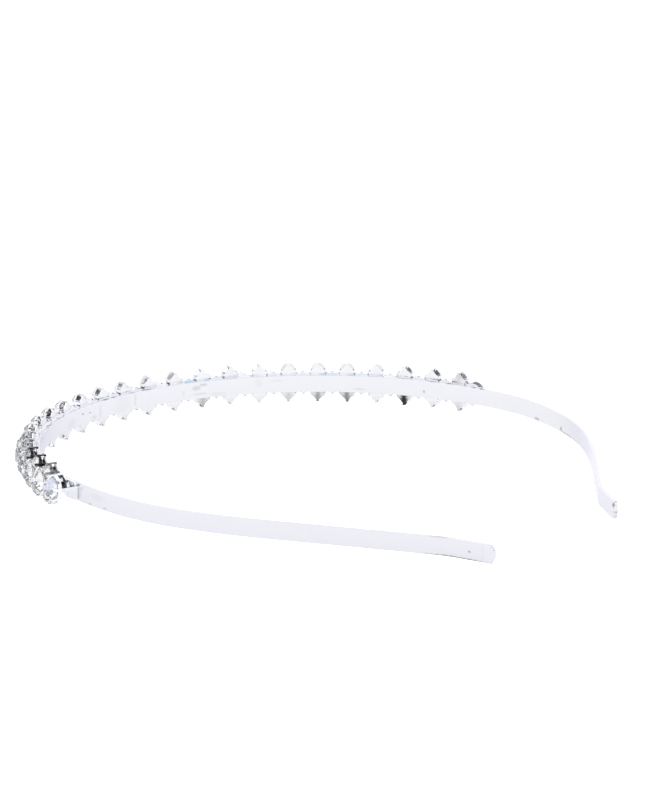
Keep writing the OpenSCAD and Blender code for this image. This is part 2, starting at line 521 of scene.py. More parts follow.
class Recipe:
    """The nodes of one material, one world or one shared effect."""

    def __init__(self, tree: bpy.types.NodeTree) -> None:
        """Starts with an empty node tree."""
        self.tree = tree
        self.tree.nodes.clear()

    def feed(self, socket: Socket, value: object) -> None:
        """Links an input to another socket, or sets it to a value.

        Args:
            socket: the input.
            value: a socket, a number, a vector, or a colour of three numbers.
        """
        if isinstance(value, Socket):
            self.tree.links.new(value, socket)
        elif socket.type == "RGBA":
            socket.default_value = (*value, 1.0)
        else:
            socket.default_value = value

    def add(self, kind: str, inputs: dict | None = None, **settings: object) -> bpy.types.Node:
        """Adds a node.

        Args:
            kind: the node's type, without its Shader prefix.
            inputs: socket name or number to a value, or to the socket that is linked to it.
            settings: properties of the node.

        Returns:
            The node.
        """
        node = self.tree.nodes.new("ShaderNode" + kind)
        for name, value in settings.items():
            setattr(node, name, value)
        for name, value in (inputs or {}).items():
            self.feed(node.inputs[name], value)
        return node

    def maths(self, operation: str, *values: object, clamp: bool = False) -> Socket:
        """Adds a maths node and gives its result."""
        node = self.add("Math", dict(enumerate(values)), operation=operation, use_clamp=clamp)
        return node.outputs[0]

    def vector(self, operation: str, *values: object) -> Socket:
        """Adds a vector maths node and gives its result."""
        node = self.add("VectorMath", dict(enumerate(values)), operation=operation)
        return node.outputs["Value" if operation == "LENGTH" else "Vector"]

    def blend(self, factor: object, a: object, b: object) -> Socket:
        """Mixes two colours and gives the result."""
        node = self.add("Mix", {"Factor": factor, MIX_A: a, MIX_B: b}, data_type="RGBA")
        return node.outputs[MIX_RESULT]

    def spread(
        self, value: object, low: float, high: float, to: Sequence[float] = RISING
    ) -> Socket:
        """Maps a range of numbers smoothly onto another.

        Args:
            value: the number.
            low: start of its range.
            high: end of its range.
            to: what the start and the end become.

        Returns:
            The socket of the result.
        """
        names = ("Value", "From Min", "From Max", "To Min", "To Max")
        inputs = dict(zip(names, (value, low, high, *to)))
        return self.add("MapRange", inputs, interpolation_type="SMOOTHSTEP").outputs[0]

    def noise(self, where: object, scale: object, detail: float, output: str = "Fac") -> Socket:
        """Adds a noise pattern and gives its value, or its Color."""
        node = self.add("TexNoise", {"Vector": where, "Scale": scale, "Detail": detail})
        return node.outputs[output]

    def attribute(self, name: str) -> Socket:
        """Reads a number that the mesh stores at its points."""
        return self.add("Attribute", attribute_name=name).outputs["Fac"]

    def object_place(self) -> Socket:
        """Reads the place in the frame of the solids, turned off the axes by a Mapping node."""
        place = self.add("TexCoord").outputs["Object"]
        return self.add("Mapping", {"Vector": place, "Rotation": OFF_AXES}).outputs[0]

    def principled(self, inputs: dict[str, object]) -> None:
        """Ends a material with a Principled shader that has these inputs."""
        shader = self.add("BsdfPrincipled", inputs)
        self.add("OutputMaterial", {"Surface": shader.outputs[0]})


def new_material(name: str) -> tuple[bpy.types.Material, Recipe]:
    """Makes an empty material.

    Args:
        name: its name.

    Returns:
        The material and its recipe.
    """
    material = bpy.data.materials.new(name)
    material.use_nodes = True
    return material, Recipe(material.node_tree)


class Effect:
    """A shared effect: a shader node group with named inputs and one output, a number."""

    def __init__(
        self, name: str, vectors: Sequence[str], numbers: Sequence[str], output: str
    ) -> None:
        """Makes the group and its sockets.

        Args:
            name: name of the group.
            vectors: names of the inputs that take a vector.
            numbers: names of the inputs that take a number.
            output: name of the output.
        """
        self.group = bpy.data.node_groups.new(name, "ShaderNodeTree")
        self.recipe = Recipe(self.group)
        sockets = [(vector, "INPUT", "NodeSocketVector") for vector in vectors]
        sockets += [(number, "INPUT", "NodeSocketFloat") for number in numbers]
        sockets.append((output, "OUTPUT", "NodeSocketFloat"))
        for socket, way, kind in sockets:
            self.group.interface.new_socket(socket, in_out=way, socket_type=kind)
        self.given = self.group.nodes.new("NodeGroupInput").outputs
        self.result = self.group.nodes.new("NodeGroupOutput").inputs

    def gives(self, socket: Socket) -> None:
        """Links a socket inside the group to its output."""
        self.group.links.new(socket, self.result[0])

    def use(self, recipe: Recipe, inputs: dict[str, object]) -> Socket:
        """Places the effect in a material and gives its output."""
        return recipe.add("Group", inputs, node_tree=self.group).outputs[0]


class Effects:
    """The effects that more than one finish or mark uses."""

    def __init__(self) -> None:
        """Builds each effect once."""
        self.patina = self._patina()
        self.ripple = self._ripple()
        self.spot = self._spot()

    @staticmethod
    def _patina() -> Effect:
        """Builds the uneven dulling of a surface, which comes in cloudy patches.

        Returns:
            The effect, whose mask is 1 where the surface is dull.
        """
        coarse_share, finer_by, patch_edge = 0.7, 5.3, (0.48, 0.72)
        effect = Effect("PlatePatina", ["Place"], ["Scale", "Amount"], "Mask")
        r, place, scale = effect.recipe, effect.given["Place"], effect.given["Scale"]
        coarse = r.maths("MULTIPLY", r.noise(place, scale, detail=4.0), coarse_share)
        finer = r.noise(place, r.maths("MULTIPLY", scale, finer_by), detail=2.0)
        finer = r.maths("MULTIPLY", finer, 1 - coarse_share)
        mask = r.spread(r.maths("ADD", coarse, finer), *patch_edge)
        effect.gives(r.maths("MULTIPLY", mask, effect.given["Amount"], clamp=True))
        return effect

    @staticmethod
    def _ripple() -> Effect:
        """Builds the faint waves that rolling and bending leave in thin metal.

        Returns:
            The effect, whose output is a height.
        """
        grain_share = 0.06
        effect = Effect("RolledRipple", ["Place"], ["Long", "Fine"], "Height")
        r, place = effect.recipe, effect.given["Place"]
        waves = r.noise(place, effect.given["Long"], detail=1.0)
        grain = r.noise(place, effect.given["Fine"], detail=4.0)
        effect.gives(r.maths("ADD", waves, r.maths("MULTIPLY", grain, grain_share)))
        return effect

    @staticmethod
    def _spot() -> Effect:
        """Builds one mark on a surface, full at its middle and gone at its size.

        Returns:
            The effect, whose mask is its strength at the middle.
        """
        full_to = 0.35
        effect = Effect("SurfaceMark", ["Place", "Centre", "Shrink"], ["Strength"], "Mask")
        r, given = effect.recipe, effect.given
        away = r.vector("SUBTRACT", given["Place"], given["Centre"])
        distance = r.vector("LENGTH", r.vector("MULTIPLY", away, given["Shrink"]))
        mask = r.spread(distance, full_to, 1.0, FALLING)
        effect.gives(r.maths("MULTIPLY", mask, given["Strength"]))
        return effect


@dataclass(frozen=True)
class Clouding:
    """Cloudy dulling of a finish: how fine its patches are, and how strong it is."""

    scale: float
    amount: float

    def mask(self, r: Recipe, effects: Effects, place: Socket) -> Socket:
        """Adds the dulling to a recipe and gives its mask."""
        inputs = {"Place": place, "Scale": self.scale, "Amount": self.amount}
        return effects.patina.use(r, inputs)


@dataclass(frozen=True)
class Waves:
    """Waves in a finish: how fine the long and the small ones are, their strength and depth."""

    long: float
    fine: float
    strength: float
    depth: float

    def normal(self, r: Recipe, effects: Effects, place: Socket) -> Socket:
        """Adds the waves to a recipe.

        Args:
            r: recipe of the material.
            effects: the shared effects.
            place: socket with the place on the piece.

        Returns:
            The socket of the normal.
        """
        height = effects.ripple.use(r, {"Place": place, "Long": self.long, "Fine": self.fine})
        bump = {"Height": height, "Strength": self.strength, "Distance": self.depth}
        return r.add("Bump", bump).outputs[0]


@dataclass(frozen=True)
class Mark:
    """A smudge, dot or darkened edge on the strip, or a patch of painted shade or painted
    reflection.

    Places and sizes are in millimetres: along the strip, across it from its middle, and through
    it, where 0 is the inner face. A mark fades out at its length, height and depth from its middle.
    """

    along: float
    across: float
    through: float
    length: float
    height: float
    strength: float
    depth: float = 0.71


@dataclass(frozen=True)
class SilverPlate:
    """Polished silver-coloured plate of the strip, with its smudges, dark edges, painted shade and
    painted reflections.

    The outer face is a shade darker than the inner one, and takes over between the two numbers of
    `outer_from`, in millimetres from the inner face. `marks` are smudges, dots and dark edges, with
    a few patches of painted shade and painted reflection, all in the colour of stains. `corners`,
    the small dark dashes on the top edge, are painted dark reflections in a dark teal. `ragged_by`
    is the range in which their edges stray, in millimetres along, across and through the strip.
    """

    name: str = "silver_plate"
    colour: Colour = (0.816, 0.818, 0.850)
    outer: Colour = (0.784, 0.786, 0.830)
    outer_from: tuple[float, float] = (0.3, 0.7)
    dull: Colour = (0.80, 0.79, 0.80)
    grazing: Colour = (0.90, 0.90, 0.955)
    # Colour of the stains, and of the marks of painted shade and painted reflection
    stain_and_shade: Colour = (0.30, 0.26, 0.24)
    # Colour of the painted dark reflections on the top edge
    painted_reflection: Colour = (0.06, 0.11, 0.13)
    roughness: float = 0.16
    dull_roughness: float = 0.12
    stain_roughness: float = 0.25
    clouding: Clouding = Clouding(60.0, 0.35)
    waves: Waves = Waves(160.0, 2600.0, 0.05, 0.4 * MM)
    ragged_scale: float = 1.9
    ragged_by: tuple[float, float, float] = (0.9, 0.5, 0.0)
    marks: tuple[Mark, ...] = (
        # Broad painted shade on the left of the crown and at the right bend, where the inner face
        # mirrors the other parts
        Mark(-72.0, 0.0, 0.0, 34.0, 6.0, 0.12),
        Mark(122.0, 1.0, 0.0, 16.0, 5.0, 0.08),
        # Smudges and scratches on the inner face of the crown, with two faint patches of painted
        # reflection
        Mark(10.5, 0.6, 0.0, 1.6, 0.8, 0.25),
        Mark(12.4, 1.2, 0.0, 1.5, 0.45, 0.28),
        Mark(11.5, -0.9, 0.0, 2.6, 0.35, 0.2),
        Mark(7.2, -0.4, 0.0, 0.5, 1.1, 0.12),
        Mark(-18.0, -0.3, 0.0, 0.6, 2.4, 0.14),
        Mark(-20.3, -1.2, 0.0, 1.4, 0.7, 0.14),
        Mark(-6.4, 0.2, 0.0, 0.6, 2.2, 0.12),
        # Painted reflections: the next two faint marks are a warm mottling, not smudges
        Mark(-10.5, 0.0, 0.0, 3.4, 2.8, 0.06),
        Mark(-30.0, -0.6, 0.0, 3.0, 1.6, 0.08),
        Mark(16.0, -1.3, 0.0, 2.8, 0.6, 0.10),
        Mark(26.0, 0.5, 0.0, 1.4, 1.4, 0.07),
        Mark(30.2, 0.9, 0.0, 1.8, 0.4, 0.10),
        # Small dots
        Mark(-24.9, 0.6, 0.0, 0.55, 0.35, 0.7),
        Mark(-22.0, 0.2, 0.0, 0.6, 0.35, 0.6),
        Mark(65.5, -0.6, 0.0, 0.45, 0.4, 0.55),
        # Lower edge at the right bend, and a scratch before it
        Mark(99.1, -1.5, 0.0, 1.3, 0.5, 0.45),
        Mark(109.5, -1.3, 0.0, 0.8, 0.9, 0.55),
        Mark(113.0, -1.8, 0.0, 5.0, 0.4, 0.5),
        Mark(118.0, -1.9, 0.0, 4.0, 0.35, 0.4),
        Mark(49.9, -1.1, 0.0, 2.2, 0.3, 0.2),
        # Outer face of the left arm, from the trim to its tip
        Mark(-97.6, -1.6, 0.8, 0.5, 0.3, 0.5),
        Mark(-102.6, -1.4, 0.8, 0.6, 0.3, 0.5),
        Mark(-100.0, 0.4, 0.8, 3.2, 1.1, 0.08),
        Mark(-185.9, -0.2, 0.8, 0.5, 0.35, 0.6),
        Mark(-183.0, -2.0, 0.8, 11.0, 0.45, 0.8),
        Mark(-178.8, 2.0, 0.8, 3.2, 0.3, 0.3),
        # Painted shade in the top corner of the left tip's fold
        Mark(-192.1, 1.4, 0.9, 1.0, 0.9, 0.55),
        # Right tip
        Mark(177.5, 1.1, 0.1, 0.6, 0.8, 0.8, 0.45),
        Mark(177.7, -0.4, 0.6, 0.5, 0.3, 0.75),
        Mark(177.7, -1.4, 0.6, 0.6, 0.9, 0.22),
        # Top edge of the crown
        Mark(-2.6, 2.1, 0.4, 2.2, 0.32, 0.8),
        Mark(67.6, 2.1, 0.4, 2.0, 0.32, 0.7),
    )
    # Painted dark reflections: small dark dashes on the top edge beside the settings
    corners: tuple[Mark, ...] = (
        Mark(-15.8, 2.1, 0.4, 1.8, 0.35, 0.95),
        Mark(-13.0, 2.1, 0.4, 1.2, 0.35, 0.85),
        Mark(-7.3, 2.1, 0.4, 1.5, 0.32, 0.6),
        Mark(60.4, 2.1, 0.4, 0.8, 0.32, 0.5),
        Mark(71.9, 2.1, 0.4, 1.5, 0.35, 1.0),
        Mark(78.5, 2.1, 0.4, 1.2, 0.35, 0.85),
        Mark(80.8, 2.1, 0.4, 1.1, 0.4, 1.0),
    )

    @staticmethod
    def _masked(r: Recipe, effects: Effects, where: Socket, marks: Sequence[Mark]) -> object:
        """Joins some marks into one mask.

        Args:
            r: recipe of the material.
            effects: the shared effects.
            where: socket with the place on the strip.
            marks: the marks.

        Returns:
            The socket of the mask.
        """
        mask: object = 0.0
        for mark in marks:
            inputs = {
                "Place": where,
                "Centre": (mark.along, mark.across, mark.through),
                "Shrink": (1 / mark.length, 1 / mark.height, 1 / mark.depth),
                "Strength": mark.strength,
            }
            mask = r.maths("MAXIMUM", mask, effects.spot.use(r, inputs))
        return mask

    def _strip_place(self, r: Recipe) -> Socket:
        """Reads the place on the strip, in millimetres, with ragged edges for the marks.

        Args:
            r: recipe of the material.

        Returns:
            The socket of the place.
        """
        parts = {"X": r.attribute("along"), "Y": r.attribute("across"), "Z": r.attribute("through")}
        where = r.add("CombineXYZ", parts).outputs[0]
        stray = r.noise(where, self.ragged_scale, detail=3.0, output="Color")
        stray = r.vector("SUBTRACT", stray, NOISE_MIDDLE)
        return r.vector("ADD", where, r.vector("MULTIPLY", stray, self.ragged_by))

    def material(self, effects: Effects) -> bpy.types.Material:
        """Builds the material.

        Args:
            effects: the shared effects.

        Returns:
            The material.
        """
        material, r = new_material(self.name)
        place = r.object_place()
        where = self._strip_place(r)
        # Masks of the stains with the patches of painted shade and reflection, and of the painted
        # dark reflections on the top edge
        stain_and_shade_mask = self._masked(r, effects, where, self.marks)
        painted_reflection_mask = self._masked(r, effects, where, self.corners)
        patina = self.clouding.mask(r, effects, place)
        outside = r.spread(r.attribute("through"), *self.outer_from)
        colour = r.blend(outside, self.colour, self.outer)
        colour = r.blend(patina, colour, self.dull)
        colour = r.blend(stain_and_shade_mask, colour, self.stain_and_shade)
        colour = r.blend(painted_reflection_mask, colour, self.painted_reflection)
        rough = r.maths("MULTIPLY_ADD", patina, self.dull_roughness, self.roughness)
        rough = r.maths("MULTIPLY_ADD", stain_and_shade_mask, self.stain_roughness, rough, clamp=True)
        r.principled(
            {
                "Base Color": colour,
                "Metallic": 1.0,
                "Roughness": rough,
                "Specular Tint": self.grazing,
                "Normal": self.waves.normal(r, effects, place),
            }
        )
        return material


@dataclass(frozen=True)
class SettingPlate:
    """Bright plate of the stamped settings, which turns grey to black where it is tarnished and
    where painted shade stands in for dark reflections.

    A setting's tone, times its tarnish and painted shade at a point, runs from 0, clean, over grey
    at
    `grey_tone` to nearly black at 1. `grey_even` is the share of the grey that is the same all
    over, and `grey_clouded` the share in patches. Rings, cups and the claws of a dish can be
    `bright`, a painted sheen that stands in for bright reflections.
    """

    name: str = "setting_plate"
    clean: Colour = (0.84, 0.843, 0.865)
    # Painted sheen: lighter metal on rings, cups and dish claws that stands in for bright
    # reflections
    bright: Colour = (0.97, 0.97, 1.0)
    # Grey and black stand partly for tarnish, partly for painted shade of dark reflections
    grey: Colour = (0.55, 0.54, 0.55)
    black: Colour = (0.03, 0.028, 0.028)
    grey_tone: float = 0.5
    grey_even: float = 0.6
    grey_clouded: float = 0.5
    roughness: float = 0.1
    dull_roughness: float = 0.15
    clouding: Clouding = Clouding(420.0, 1.0)
    waves: Waves = Waves(700.0, 5200.0, 0.25, 0.15 * MM)

    def material(self, effects: Effects) -> bpy.types.Material:
        """Builds the material.

        Args:
            effects: the shared effects.

        Returns:
            The material.
        """
        material, r = new_material(self.name)
        place = r.object_place()
        patina = self.clouding.mask(r, effects, place)
        # Darkening by tarnish and by painted shade for dark reflections, per setting and point
        tone = r.maths("MULTIPLY", r.attribute("tone"), r.attribute("wear"))
        patchy = r.maths("MULTIPLY_ADD", patina, self.grey_clouded, self.grey_even)
        greyed = r.maths("MULTIPLY", r.spread(tone, 0.0, self.grey_tone), patchy, clamp=True)
        # Painted sheen on rings, cups and dish claws
        colour = r.blend(r.attribute("rim"), self.clean, self.bright)
        colour = r.blend(greyed, colour, self.grey)
        colour = r.blend(r.spread(tone, self.grey_tone, 1.0), colour, self.black)
        r.principled(
            {
                "Base Color": colour,
                "Metallic": 1.0,
                "Roughness": r.maths("MULTIPLY_ADD", patina, self.dull_roughness, self.roughness),
                "Normal": self.waves.normal(r, effects, place),
            }
        )
        return material


@dataclass(frozen=True)
class CutGlass:
    """Clear cut glass of a crystal's crown, with a trace of haze."""

    name: str = "cut_glass"
    clear: Colour = (0.985, 0.99, 1.0)
    hazy: Colour = (0.93, 0.93, 0.95)
    haze: Clouding = Clouding(900.0, 0.05)
    ior: float = 1.4

    def material(self, effects: Effects) -> bpy.types.Material:
        """Builds the material.

        Args:
            effects: the shared effects.

        Returns:
            The material.
        """
        material, r = new_material(self.name)
        haze = self.haze.mask(r, effects, r.object_place())
        r.principled(
            {
                "Base Color": r.blend(haze, self.clear, self.hazy),
                "Roughness": haze,
                "IOR": self.ior,
                "Transmission Weight": 1.0,
            }
        )
        return material


@dataclass(frozen=True)
class Foil:
    """Mirror foil on the back of a crystal, from bright to smoky by the crystal's tone.

    `stops` gives the colour at each tone, which shows in patches on bright foil. A tone above
    `lacquer_from` is dark lacquer on the outside of the foil, which stays bright inside the glass.
    """

    name: str = "crystal_foil"
    stops: tuple[tuple[float, Colour], ...] = (
        (0.0, (1.0, 1.0, 1.0)),
        (0.5, (0.92, 0.92, 0.95)),
        (0.7, (0.50, 0.55, 0.88)),
        (0.8, (0.84, 0.70, 0.64)),
        (1.0, (0.05, 0.05, 0.055)),
    )
    lacquer_from: tuple[float, float] = (0.85, 0.9)
    patch_scale: float = 520.0
    patch_edge: tuple[float, float] = (0.48, 0.60)
    patch_share: tuple[float, float] = (0.1, 1.0)
    dull: Colour = (0.42, 0.40, 0.42)
    clouding: Clouding = Clouding(1100.0, 0.15)
    metallic: float = 0.75
    roughness: float = 0.04

    def material(self, effects: Effects) -> bpy.types.Material:
        """Builds the material.

        Args:
            effects: the shared effects.

        Returns:
            The material.
        """
        material, r = new_material(self.name)
        place = r.object_place()
        tone = r.attribute("tone")
        inside = r.add("NewGeometry").outputs["Backfacing"]
        lacquered = r.maths("MULTIPLY", inside, r.spread(tone, *self.lacquer_from))
        shown = r.maths("MULTIPLY", tone, r.maths("SUBTRACT", 1.0, lacquered))
        ramp = r.add("ValToRGB", {"Fac": shown})
        points = ramp.color_ramp.elements
        while len(points) < len(self.stops):
            points.new(0.5)
        for point, (where, colour) in zip(points, self.stops):
            point.position = where
            point.color = (*colour, 1.0)
        patches = r.noise(place, self.patch_scale, detail=1.0)
        patches = r.spread(patches, *self.patch_edge, self.patch_share)
        bright = self.stops[0][1]
        colour = r.blend(patches, bright, ramp.outputs[0])
        colour = r.blend(self.clouding.mask(r, effects, place), colour, self.dull)
        r.principled(
            {"Base Color": colour, "Metallic": self.metallic, "Roughness": self.roughness}
        )
        return material


# The strip


@dataclass
class Strip:
    """The flat metal strip with its outward flared, folded tips.

    A fold starts `fold_depth` outside the inner face and ends `fold_rise` above the outer one. Its
    end bulges by the first `fold_bulge` at the left tip and by the second at the right one. Each
    `sharp` is the turn, in degrees, above which an edge is sharp.
    """

    curve: HeadCurve
    width: float = 4.0 * MM
    thickness: float = 0.8 * MM
    edge_round: float = 0.06 * MM
    edge_steps: int = 3
    bend_step: float = 1.5
    least_bend_steps: int = 4
    straight_step: float = 4.0 * MM
    sharp: float = 40.0
    fold_length: float = 2.1 * MM
    fold_depth: float = 0.15 * MM
    fold_rise: float = 0.35 * MM
    fold_bulge: tuple[float, float] = (0.8 * MM, 0.3 * MM)
    fold_inset: float = 0.1 * MM
    fold_round: float = 0.3 * MM
    fold_steps: int = 4
    fold_sharp: float = 50.0
    ruler_step: float = 0.25 * MM
    ruler_spare: float = 2.0 * MM

    def _sweep(self, bench: Bench, arm: Arm) -> None:
        """Spins and extrudes the selected end face along one arm.

        Args:
            bench: the bench with the strip on it.
            arm: the arm.
        """
        here = self.curve.place(0.0)
        along = 0.0
        for stretch in self.curve.stretches(arm):
            outward = Vector((math.sin(here.heading), math.cos(here.heading), 0.0))
            if stretch.radius:
                turn = stretch.turn * arm.value
                steps = math.ceil(abs(math.degrees(turn)) / self.bend_step)
                bpy.ops.mesh.spin(
                    steps=max(self.least_bend_steps, steps),
                    angle=turn,
                    center=Vector((here.x, here.y, 0.0)) - stretch.radius * outward,
                    axis=(0, 0, 1),
                )
            else:
                onward = Vector((outward.y, -outward.x, 0.0)) * arm.value
                steps = max(1, round(stretch.length / self.straight_step))
                for _ in range(steps):
                    bench.extrude(*(onward * stretch.length / steps))
            along += arm.value * stretch.length
            here = self.curve.place(along)

    def _fold(self, arm: Arm) -> Piece:
        """Makes the end that is folded back onto the outer face of one tip.

        Args:
            arm: the arm.

        Returns:
            The folded end, in its place.
        """
        half = self.width / 2 - self.fold_inset
        bulge = self.fold_bulge[0 if arm is Arm.LEFT else 1]
        bench = Bench(
            f"fold_{arm.name.lower()}",
            bpy.ops.mesh.primitive_grid_add,
            x_subdivisions=4,
            y_subdivisions=12,
            size=1.0,
        )
        bench.edit("VERT")
        bench.resize(self.fold_length, 2 * half, 1.0)
        mesh = bmesh.from_edit_mesh(bench.piece.data)
        for v in mesh.verts:
            share = (v.co.x / self.fold_length + 0.5) ** 2
            v.co.x += share * bulge * (1 - (v.co.y / half) ** 2)
            v.co.x -= self.fold_length / 2
        bmesh.update_edit_mesh(bench.piece.data)
        bench.pick_all("FACE")
        bench.extrude(0, 0, self.thickness - self.fold_depth + self.fold_rise)
        bench.face_outwards()
        piece = bench.done()
        bench.soften(self.fold_round, self.fold_sharp, self.fold_steps)
        along = self.curve.end(arm)
        seat = self.curve.seat(along, self.fold_depth, 0.0)
        heading = abs(self.curve.place(along).heading)
        lean = math.atan(self.curve.slope(arm) * math.sin(heading)) * arm.value
        facing = Matrix.Identity(4) if arm is Arm.LEFT else Matrix.Rotation(math.pi, 4, "Z")
        piece.data.transform(seat @ Matrix.Rotation(lean, 4, "Z") @ facing)
        return piece

    def _store_places(self, piece: Piece) -> None:
        """Stores where each point is along, across and through the strip, in millimetres.

        Args:
            piece: the strip.
        """
        ruler = Ruler(self.curve, self.ruler_step, self.ruler_spare)
        mark_points(piece, "along", lambda co: ruler.read(co)[0] / MM)
        mark_points(piece, "through", lambda co: ruler.read(co)[1] / MM)
        mark_points(piece, "across", lambda co: (co.z - self.curve.height(co.x, co.y)) / MM)

    def build(self, finish: bpy.types.Material) -> Piece:
        """Makes the strip.

        Args:
            finish: its material.

        Returns:
            The finished piece.
        """
        top = self.curve.place(0.0)
        middle = (top.x, top.y + self.thickness / 2, self.curve.level_z)
        bench = Bench(
            "headband_strip",
            bpy.ops.mesh.primitive_plane_add,
            size=1.0,
            location=middle,
            rotation=(0, math.pi / 2, 0),
        )
        bench.edit("VERT")
        bench.resize(1, self.thickness, self.width, middle)
        bpy.ops.mesh.bevel(offset=self.edge_round, segments=self.edge_steps, affect="VERTICES")
        bench.pick_all("FACE")
        self._sweep(bench, Arm.RIGHT)
        bench.pick("FACE", lambda c, n: abs(n.x) > SQUARE and abs(c.x - top.x) < NEAR)
        self._sweep(bench, Arm.LEFT)
        bench.face_outwards()
        piece = bench.done()
        for v in piece.data.vertices:
            v.co.z += self.curve.height(v.co.x, v.co.y) - self.curve.level_z
        bench.smooth(self.sharp)
        piece = joined("headband_strip", [piece, self._fold(Arm.LEFT), self._fold(Arm.RIGHT)])
        self._store_places(piece)
        dress(piece, finish)
        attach(piece, "root")
        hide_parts("band")
        return piece


# The trim


@dataclass(frozen=True)
class Cut:
    """Sizes of one size of crystal.

    `table`, `star` and `keel` are the shares of the radius at which three rings of corners lie:
    those of the table, of the facets round it and of the facets on the back. Faces that turn by
    less than `flat` are one facet.
    """

    radius: float
    pavilion: float
    crown: float
    girdle: float = 0.15 * MM
    facets: int = 8
    table: float = 0.56
    star: float = 0.80
    keel: float = 0.38
    flat: float = 1.5

    def build(self, name: str, glass: bpy.types.Material, foil: bpy.types.Material) -> Piece:
        """Cuts a brilliant with its culet at the origin and its table upwards.

        Args:
            name: name of the piece.
            glass: material of its crown.
            foil: material of its back.

        Returns:
            The crystal.
        """
        turn = math.pi / self.facets
        cosine = math.cos(turn)
        waist, brim = self.pavilion, self.pavilion + self.girdle
        bench = Bench(
            name,
            bpy.ops.mesh.primitive_circle_add,
            vertices=2 * self.facets,
            radius=self.radius,
            location=(0, 0, waist),
        )
        bench.edit("VERT")
        star_z = brim + self.crown * (1 - self.star * cosine) / (1 - self.table)
        keel_z = self.pavilion * self.keel * cosine
        rings = (
            (2 * self.facets, self.radius, brim, 0.0),
            (self.facets, self.radius * self.table, brim + self.crown, 0.0),
            (self.facets, self.radius * self.star, star_z, turn),
            (self.facets, self.radius * self.keel, keel_z, turn),
            (3, NEAR, 0.0, 0.0),
        )
        for count, radius, height, angle in rings:
            bpy.ops.mesh.primitive_circle_add(
                vertices=count, radius=radius, location=(0, 0, height), rotation=(0, 0, angle)
            )
        bench.pick("VERT", lambda c, n: c.z < NEAR)
        bpy.ops.mesh.merge(type="CENTER")
        bpy.ops.mesh.select_all(action="SELECT")
        bpy.ops.mesh.convex_hull(use_existing_faces=False)
        bpy.ops.mesh.select_all(action="SELECT")
        bpy.ops.mesh.dissolve_limited(angle_limit=math.radians(self.flat))
        bench.face_outwards()
        piece = bench.done()
        dress(piece, glass, foil)
        for face in piece.data.polygons:
            face.use_smooth = False
            face.material_index = 1 if face.center.z < waist - NEAR else 0
        return piece


